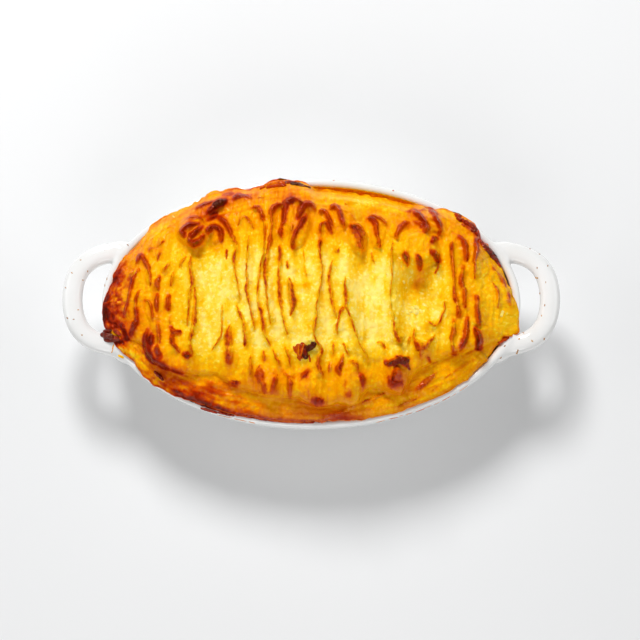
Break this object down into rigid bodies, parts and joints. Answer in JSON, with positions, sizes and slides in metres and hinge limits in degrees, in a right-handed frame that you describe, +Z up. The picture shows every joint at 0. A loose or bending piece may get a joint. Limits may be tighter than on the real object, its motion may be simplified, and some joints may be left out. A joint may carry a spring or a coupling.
{
  "type": "shepherd's pie in its baking dish",
  "caption": "Baked shepherd's pie with a browned, fork-ridged potato top, in a white oval dish with loop handles.",
  "frame": {"origin": "centre of the dish's flat base, on the surface it stands on", "axes": "+X along the dish through the right handle, +Y to the back, +Z up"},
  "size_m": [0.2376, 0.12, 0.0648],
  "materials": {
    "white_glaze": "gloss white glaze with a few baked-on brown specks",
    "baked_potato": "soft yellow mashed potato, toasted brown to black on its crests and edges"
  },
  "bodies": {
    "root": {"dish": "white_glaze", "pie": "baked_potato"}
  },
  "joints": []
}
